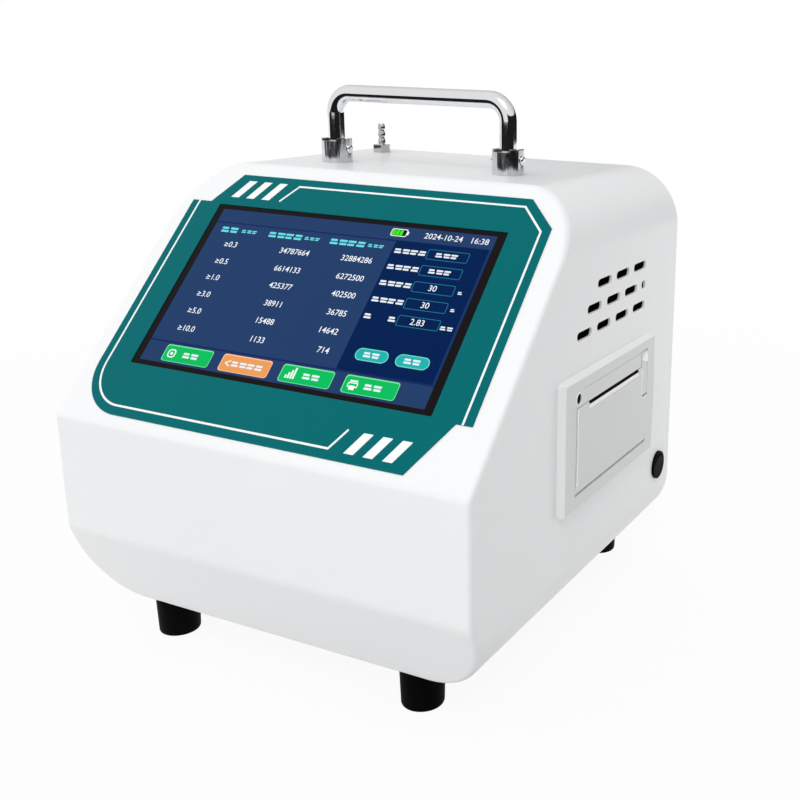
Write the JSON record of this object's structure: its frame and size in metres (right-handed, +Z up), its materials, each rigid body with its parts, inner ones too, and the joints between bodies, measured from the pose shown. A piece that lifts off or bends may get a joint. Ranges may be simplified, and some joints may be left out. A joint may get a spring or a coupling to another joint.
{
  "type": "airborne particle counter",
  "caption": "Bench-top airborne particle counter in a sheet-metal case with a sloping touch display, side receipt printer, louvred vents, sampling inlet and folding carry handle.",
  "frame": {"origin": "on the bench plane under the middle of the case", "axes": "+Z up; the sloping display faces -Y and up; the printer side faces +X"},
  "size_m": [0.2251, 0.23, 0.2572],
  "materials": {
    "case_paint": "satin white powder coat",
    "panel_paint": "satin white powder coat",
    "bright_screws": "bright",
    "zinc_screws": "zinc plated",
    "zinc_nuts": "zinc plated",
    "steel_pins": "ground",
    "steel_fitting": "satin stainless",
    "handle_chrome": "polished",
    "foot_rubber": "matte",
    "hose_rubber": "soft clear silicone",
    "platen_rubber": "ground",
    "teal_film": "fine matte",
    "screen_glass": "gloss black glass",
    "lcd_frame": "satin",
    "sheet_metal": "zinc plated sheet",
    "circuit_board": "solder mask",
    "printer_plastic": "fine matte",
    "white_plastic": "gloss",
    "gear_plastic": "natural",
    "brass_pinion": "machined",
    "motor_case": "drawn can",
    "print_head": "anodised",
    "paper": "thermal paper",
    "black_plastic": "fine matte",
    "plated_socket": "plated shell",
    "anodised_block": "black anodised",
    "pump_plastic": "moulded",
    "filter_plastic": "clear",
    "battery_wrap": "heat-shrink wrap"
  },
  "bodies": {
    "case": {"shell": "case_paint", "rear_panel": "panel_paint", "rear_screws": "bright_screws", "feet": "foot_rubber", "foot_screws": "zinc_screws", "foot_nuts": "zinc_nuts", "handle_bases": "handle_chrome", "handle_pins": "steel_pins", "handle_nuts": "zinc_nuts", "inlet_fitting": "steel_fitting", "fitting_nuts": "zinc_nuts", "air_hoses": "hose_rubber", "overlay_film": "teal_film", "touch_glass": "screen_glass", "lcd_module": "lcd_frame", "display_bracket": "sheet_metal", "display_nuts": "zinc_nuts", "display_board": "circuit_board", "display_screws": "zinc_screws", "printer_frame": "printer_plastic", "door_pin": "steel_pins", "feed_motor": "motor_case", "print_head": "print_head", "paper_roll": "paper", "lever_pin": "steel_pins", "button_board": "circuit_board", "printer_clamps": "sheet_metal", "clamp_screws": "zinc_screws", "switch_body": "black_plastic", "fan_frame": "black_plastic", "fan_screws": "bright_screws", "exhaust_fitting": "steel_fitting", "usb_socket": "plated_socket", "usb_screws": "bright_screws", "charge_socket": "black_plastic", "socket_nut": "zinc_nuts", "chassis_tray": "sheet_metal", "tray_nuts": "zinc_nuts", "sensor_block": "anodised_block", "laser_module": "brass_pinion", "detector_module": "circuit_board", "pump_head": "pump_plastic", "pump_motor": "motor_case", "filter_capsule": "filter_plastic", "battery_pack": "battery_wrap", "battery_strap": "sheet_metal", "main_board": "circuit_board", "board_standoffs": "brass_pinion", "board_screws": "zinc_screws"},
    "handle": {"handle_bail": "handle_chrome"},
    "door": {"printer_door": "printer_plastic", "tear_bar": "white_plastic"},
    "platen": {"platen_roller": "platen_rubber", "platen_shaft": "steel_pins", "platen_gear": "gear_plastic"},
    "pinion": {"motor_pinion": "brass_pinion"},
    "lever": {"release_lever": "printer_plastic"},
    "feed_key": {"feed_button": "black_plastic"},
    "rocker": {"switch_rocker": "black_plastic"},
    "fan": {"fan_rotor": "black_plastic"}
  },
  "joints": [
    {"name": "handle_fold", "type": "hinge", "parent": "case", "child": "handle", "pos_m": [0, 0.0285, 0.225], "axis": [-1, 0, 0], "range_deg": [0, 90]},
    {"name": "printer_door", "type": "hinge", "parent": "case", "child": "door", "pos_m": [0.1119, 0.018, 0.0841], "axis": [0, 1, 0], "range_deg": [0, 88]},
    {"name": "platen_spin", "type": "hinge", "parent": "door", "child": "platen", "pos_m": [0.104, 0.018, 0.117], "axis": [0, 1, 0], "continuous": true},
    {"name": "pinion_spin", "type": "hinge", "parent": "case", "child": "pinion", "pos_m": [0.0975, 0.018, 0.11325], "axis": [0, 1, 0], "continuous": true},
    {"name": "release_lever", "type": "hinge", "parent": "case", "child": "lever", "pos_m": [0.1121, 0.018, 0.1296], "axis": [0, -1, 0], "range_deg": [0, 40]},
    {"name": "feed_button", "type": "slide", "parent": "case", "child": "feed_key", "axis": [-1, 0, 0], "range_m": [0, 0.0008], "stiffness_N_per_m": 400},
    {"name": "power_rocker", "type": "hinge", "parent": "case", "child": "rocker", "pos_m": [0.1106, 0.0897, 0.058], "axis": [0, -1, 0], "range_deg": [0, 16]},
    {"name": "fan_spin", "type": "hinge", "parent": "case", "child": "fan", "pos_m": [0.038, 0.0965, 0.146], "axis": [0, 1, 0], "continuous": true}
  ],
  "couplings": [
    {"joint": "pinion_spin", "follows": "platen_spin", "ratio": -1.5}
  ]
}
